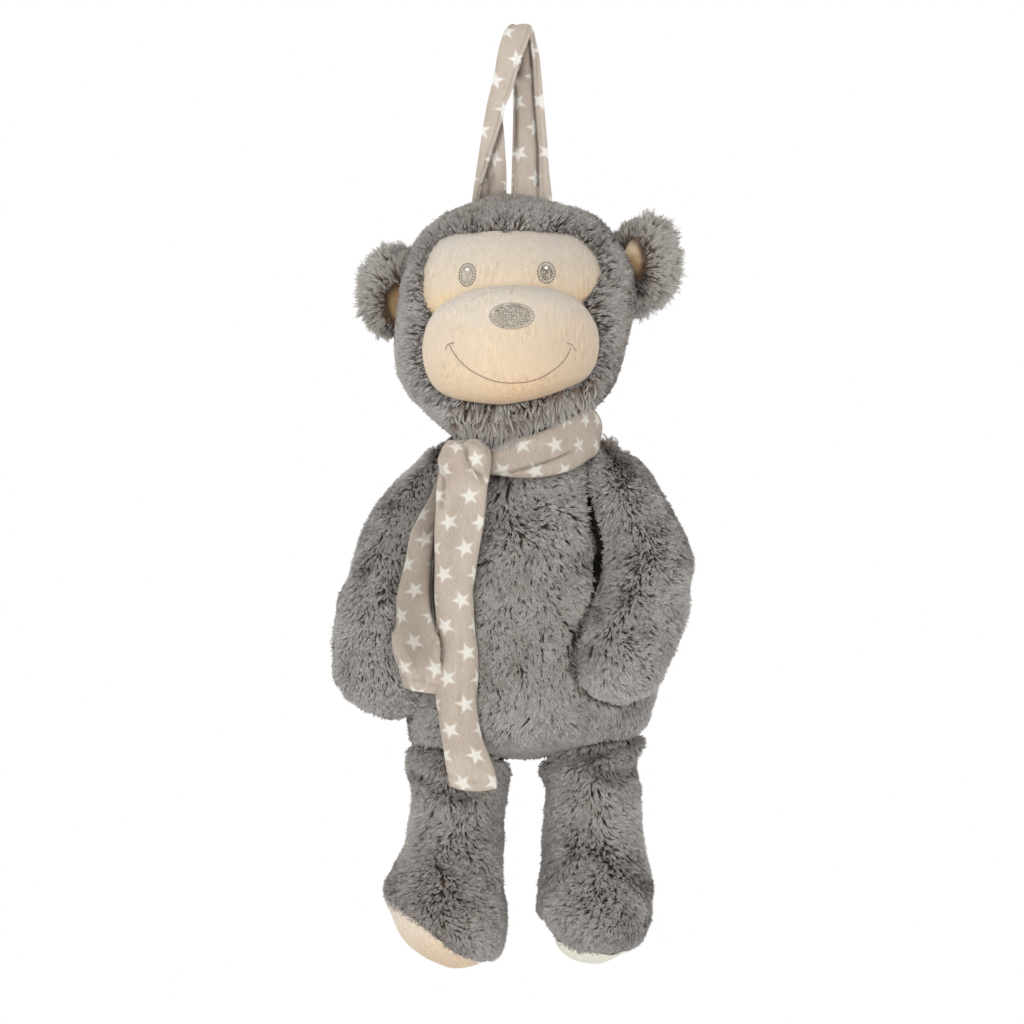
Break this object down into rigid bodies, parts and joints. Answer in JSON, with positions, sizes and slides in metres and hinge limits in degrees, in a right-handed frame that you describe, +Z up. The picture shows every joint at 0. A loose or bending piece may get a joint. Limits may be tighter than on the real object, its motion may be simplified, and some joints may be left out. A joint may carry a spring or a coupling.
{
  "type": "plush animal backpack",
  "caption": "Hanging plush monkey backpack with a stuffed head and limbs, a hollow zipped body, carrying straps, a hang loop and a knotted star-print scarf.",
  "frame": {"origin": "hang point under the fold of the hang loop", "axes": "+Z up along the hanging height, -Y out of the animal's face, +X to the viewer's right"},
  "size_m": [0.1802, 0.1383, 0.4702],
  "materials": {
    "plush": "long-pile grey plush",
    "face": "short-pile cream velboa with embroidered eyes, nose and mouth",
    "lining": "short-pile tan velboa",
    "sole": "short-pile cream velboa",
    "star_cloth": "fine knit with a white star print",
    "zip_tape": "woven tape with a nylon coil",
    "zip_metal": "dull nickel"
  },
  "bodies": {
    "root": {"head": "plush", "face_patch": "face", "muzzle": "face", "ear_left": "plush", "ear_right": "plush", "ear_lining_left": "lining", "ear_lining_right": "lining", "torso_bag": "plush", "arm_left": "plush", "arm_right": "plush", "leg_left": "plush", "leg_right": "plush", "sole_left": "sole", "sole_right": "sole", "scarf": "star_cloth", "hang_loop": "star_cloth", "shoulder_strap_left": "star_cloth", "shoulder_strap_right": "star_cloth", "zip_tape": "zip_tape", "zip_pull": "zip_metal"}
  },
  "joints": []
}
